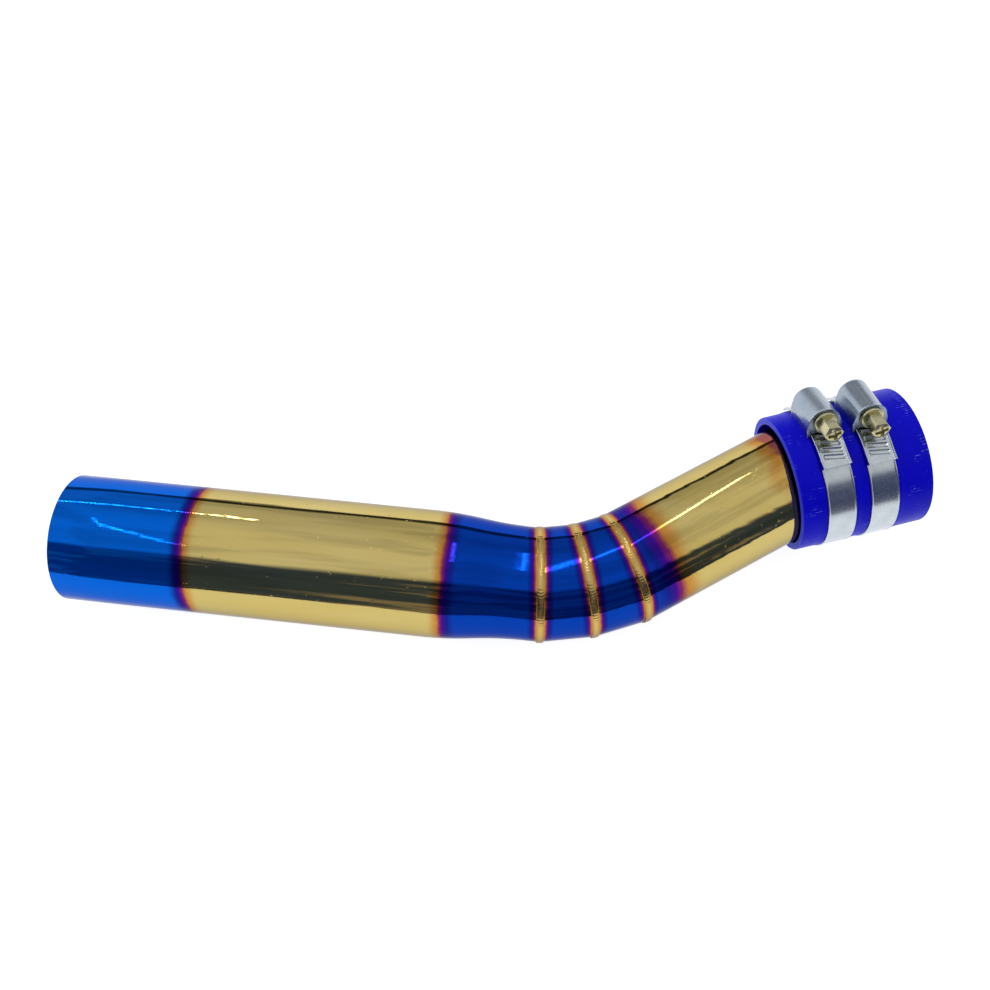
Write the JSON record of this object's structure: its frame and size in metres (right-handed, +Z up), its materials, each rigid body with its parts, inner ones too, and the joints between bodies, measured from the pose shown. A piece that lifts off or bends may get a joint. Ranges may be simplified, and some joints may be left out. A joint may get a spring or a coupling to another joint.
{
  "type": "mitred exhaust link pipe with clamped coupler",
  "caption": "Thin-wall mitred exhaust link pipe with heat-tint colours, a necked outlet, and a silicone coupler held by worm-drive hose clamps.",
  "frame": {"origin": "centre of the inlet end's edge, on the straight run's axis", "axes": "+X along the straight run away from the inlet, the bend turns towards +Y, +Z is up and square to the bend's plane"},
  "size_m": [0.3605, 0.1287, 0.0765],
  "materials": {
    "pipe_metal": "mirror-polished thin-wall tube with gold and deep blue heat-tint bands",
    "weld_metal": "TIG weld bead, straw to gold, fine ripples",
    "silicone": "satin deep blue silicone with a faint fabric imprint",
    "hose_fabric": "woven polyester reinforcement, seen only at the cut ends",
    "bright_zinc": "bright zinc-plated spring-steel strip",
    "blue_zinc": "blue-grey zinc-plated pressing",
    "yellow_zinc": "yellow-passivated zinc, worn at the recess"
  },
  "bodies": {
    "pipe": {"inlet_tube": "pipe_metal", "weld_bead_1": "weld_metal", "pie_cut_1": "pipe_metal", "weld_bead_2": "weld_metal", "pie_cut_2": "pipe_metal", "weld_bead_3": "weld_metal", "outlet_tube": "pipe_metal"},
    "coupler": {"hose_liner": "silicone", "hose_ply": "hose_fabric", "hose_cover": "silicone"},
    "clamp_1": {"band_1": "bright_zinc", "saddle_1": "bright_zinc", "saddle_rivets_1": "bright_zinc", "housing_1": "blue_zinc"},
    "free_end_1": {"band_tail_1": "bright_zinc"},
    "screw_1": {"worm_screw_1": "yellow_zinc"},
    "clamp_2": {"band_2": "bright_zinc", "saddle_2": "bright_zinc", "saddle_rivets_2": "bright_zinc", "housing_2": "blue_zinc"},
    "free_end_2": {"band_tail_2": "bright_zinc"},
    "screw_2": {"worm_screw_2": "yellow_zinc"}
  },
  "joints": [
    {"name": "coupler_pull_off", "type": "slide", "parent": "pipe", "child": "coupler", "axis": [0.9434, 0.3249, 0.0663], "range_m": [0, 0.023]},
    {"name": "clamp_1_swivel", "type": "hinge", "parent": "coupler", "child": "clamp_1", "pos_m": [0.31436, 0.06133, 0.00084], "axis": [0.9434, 0.3249, 0.0663], "continuous": true},
    {"name": "screw_1_turn", "type": "hinge", "parent": "clamp_1", "child": "screw_1", "pos_m": [0.3064, 0.07824, 0.0311], "axis": [-0.2449, 0.8175, -0.5213], "range_deg": [-1080, 1080]},
    {"name": "free_end_1_feed", "type": "hinge", "parent": "clamp_1", "child": "free_end_1", "pos_m": [0.31436, 0.06133, 0.00084], "axis": [0.9434, 0.3249, 0.0663], "range_deg": [-16.5, 16.5]},
    {"name": "clamp_2_swivel", "type": "hinge", "parent": "coupler", "child": "clamp_2", "pos_m": [0.33143, 0.06721, 0.00204], "axis": [0.9434, 0.3249, 0.0663], "continuous": true},
    {"name": "screw_2_turn", "type": "hinge", "parent": "clamp_2", "child": "screw_2", "pos_m": [0.32419, 0.08179, 0.03366], "axis": [-0.2616, 0.8523, -0.453], "range_deg": [-1080, 1080]},
    {"name": "free_end_2_feed", "type": "hinge", "parent": "clamp_2", "child": "free_end_2", "pos_m": [0.33143, 0.06721, 0.00204], "axis": [0.9434, 0.3249, 0.0663], "range_deg": [-16.5, 16.5]}
  ],
  "couplings": [
    {"joint": "free_end_1_feed", "follows": "screw_1_turn", "ratio": 0.015221},
    {"joint": "free_end_2_feed", "follows": "screw_2_turn", "ratio": 0.015221}
  ]
}
